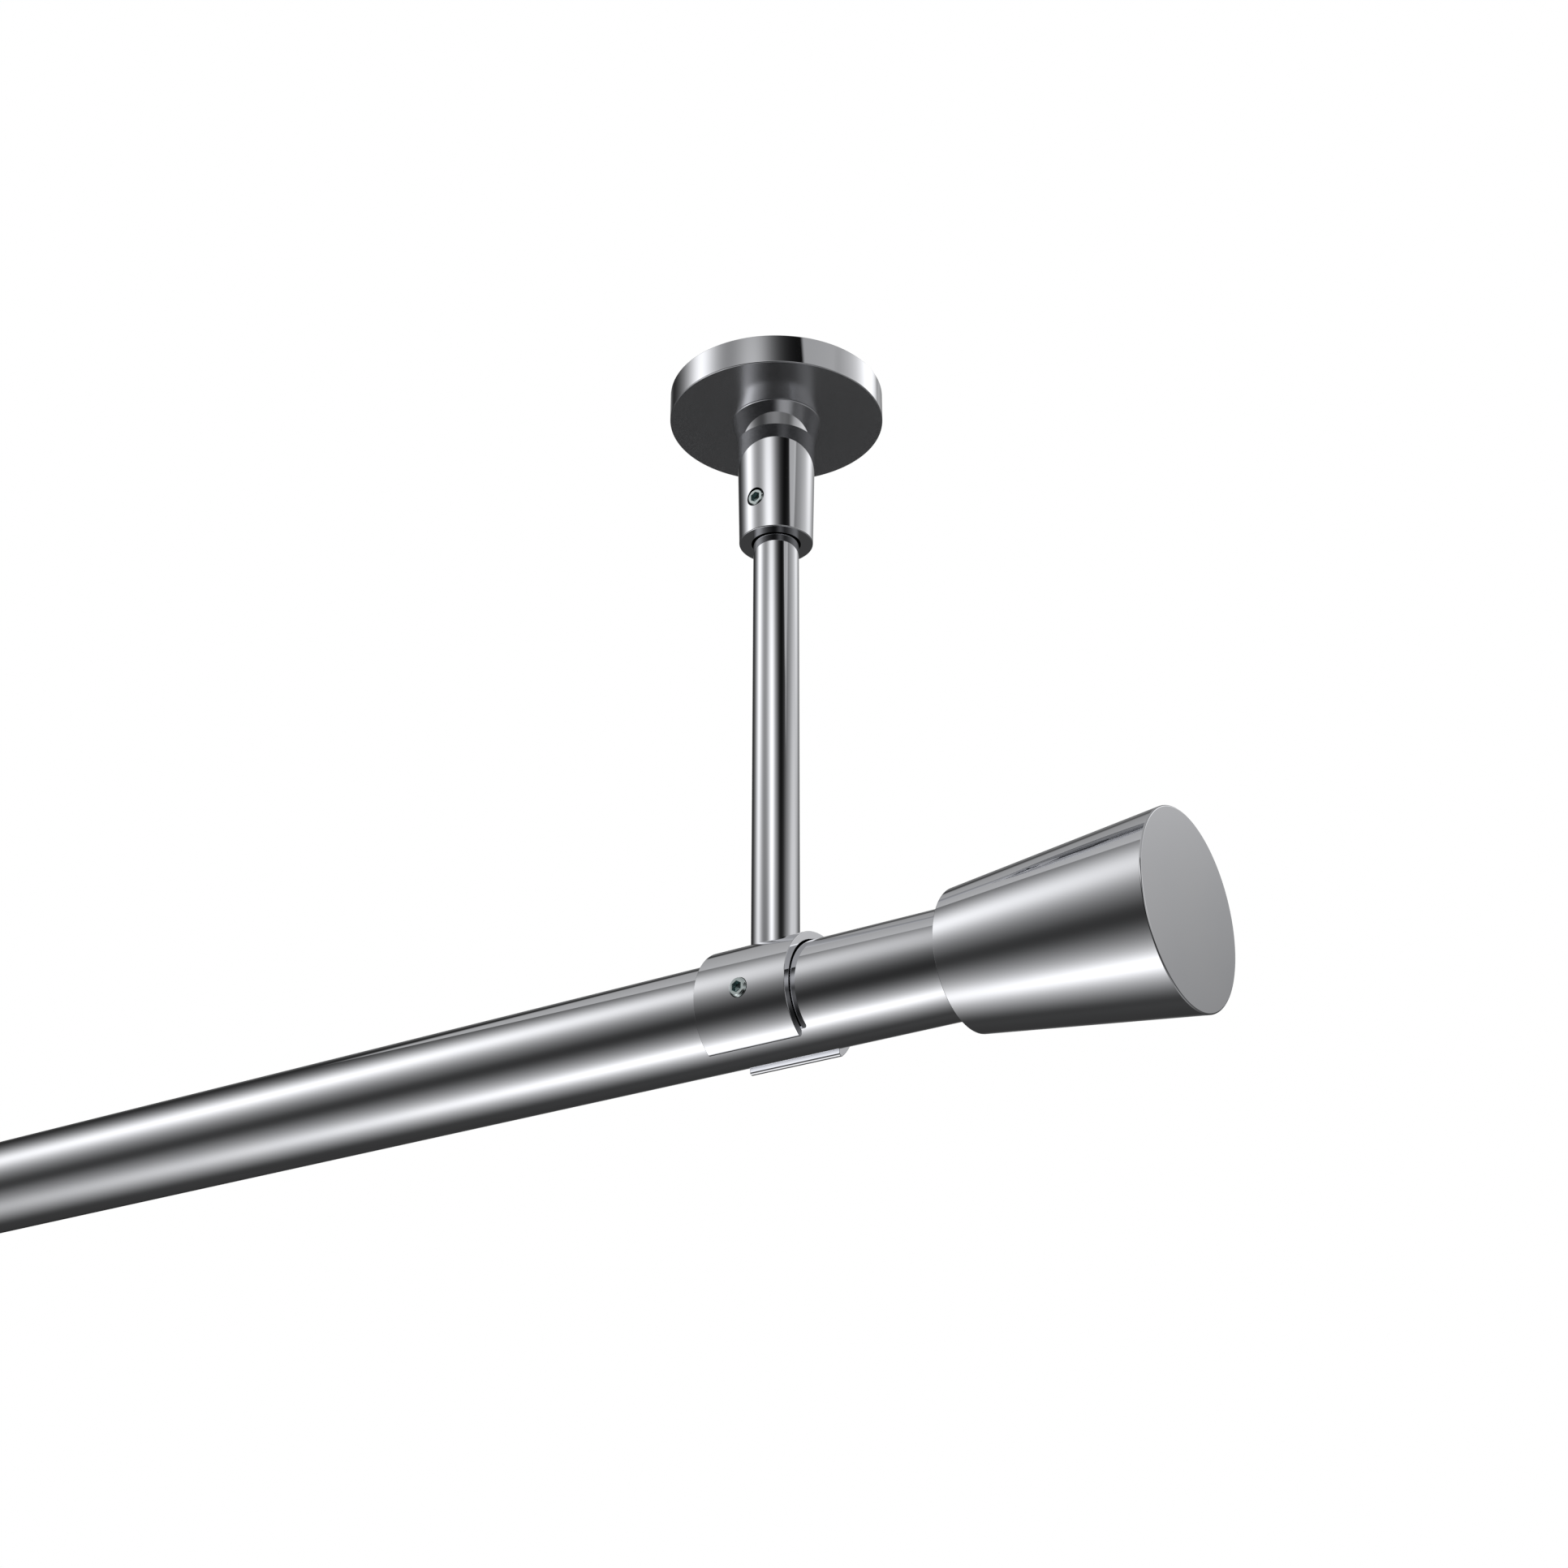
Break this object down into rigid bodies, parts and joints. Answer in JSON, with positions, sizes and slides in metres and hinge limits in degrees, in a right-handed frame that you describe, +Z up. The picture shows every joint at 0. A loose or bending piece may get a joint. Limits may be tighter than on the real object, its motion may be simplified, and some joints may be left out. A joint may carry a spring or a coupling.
{
  "type": "curtain rod",
  "caption": "Ceiling-hung chrome curtain rod: round pole in open-bottomed clamps on hanger rods from round roses, with conical finials.",
  "frame": {"origin": "middle of the right bracket's ceiling face", "axes": "+X along the pole towards the right finial, +Z up at the ceiling, -Y towards the room, where the grub screws are"},
  "size_m": [1.2948, 0.0602, 0.2086],
  "materials": {
    "chrome": "polished",
    "chromed_aluminium": "polished",
    "zinc_plated_screw": "satin",
    "plate_steel": "satin",
    "nylon": "matte"
  },
  "bodies": {
    "ceiling_fixings": {"right_rose": "chrome", "right_mounting_plate": "plate_steel", "right_stud": "zinc_plated_screw", "right_collar": "chrome", "left_rose": "chrome", "left_mounting_plate": "plate_steel", "left_stud": "zinc_plated_screw", "left_collar": "chrome"},
    "right_hanger": {"right_hanger_rod": "chrome", "right_clamp": "chrome", "right_clamp_screw": "zinc_plated_screw"},
    "left_hanger": {"left_hanger_rod": "chrome", "left_clamp": "chrome", "left_clamp_screw": "zinc_plated_screw"},
    "pole": {"pole": "chrome"},
    "right_finial": {"right_finial": "chromed_aluminium", "right_finial_plug": "nylon", "right_finial_screw": "zinc_plated_screw"},
    "left_finial": {"left_finial": "chromed_aluminium", "left_finial_plug": "nylon", "left_finial_screw": "zinc_plated_screw"},
    "right_collar_grub_screw": {"right_collar_grub_screw": "zinc_plated_screw"},
    "left_collar_grub_screw": {"left_collar_grub_screw": "zinc_plated_screw"},
    "right_clamp_grub_screw": {"right_clamp_grub_screw": "zinc_plated_screw"},
    "left_clamp_grub_screw": {"left_clamp_grub_screw": "zinc_plated_screw"}
  },
  "joints": [
    {"name": "right_hanger_height", "type": "slide", "parent": "ceiling_fixings", "child": "right_hanger", "axis": [0, 0, 1], "range_m": [-0.012, 0.0029]},
    {"name": "left_hanger_height", "type": "slide", "parent": "ceiling_fixings", "child": "left_hanger", "axis": [0, 0, 1], "range_m": [-0.012, 0.0029]},
    {"name": "pole_slide", "type": "slide", "parent": "right_hanger", "child": "pole", "axis": [1, 0, 0], "range_m": [-0.0425, 0.0425]},
    {"name": "right_finial_pull", "type": "slide", "parent": "pole", "child": "right_finial", "axis": [1, 0, 0], "range_m": [0, 0.029]},
    {"name": "left_finial_pull", "type": "slide", "parent": "pole", "child": "left_finial", "axis": [-1, 0, 0], "range_m": [0, 0.029]},
    {"name": "right_collar_grub_screw_travel", "type": "slide", "parent": "ceiling_fixings", "child": "right_collar_grub_screw", "axis": [0, -1, 0], "range_m": [0, 0.003]},
    {"name": "left_collar_grub_screw_travel", "type": "slide", "parent": "ceiling_fixings", "child": "left_collar_grub_screw", "axis": [0, -1, 0], "range_m": [0, 0.003]},
    {"name": "right_clamp_grub_screw_travel", "type": "slide", "parent": "right_hanger", "child": "right_clamp_grub_screw", "axis": [0, -1, 0], "range_m": [0, 0.003]},
    {"name": "left_clamp_grub_screw_travel", "type": "slide", "parent": "left_hanger", "child": "left_clamp_grub_screw", "axis": [0, -1, 0], "range_m": [0, 0.003]}
  ],
  "couplings": [
    {"joint": "left_hanger_height", "follows": "right_hanger_height", "ratio": 1}
  ]
}
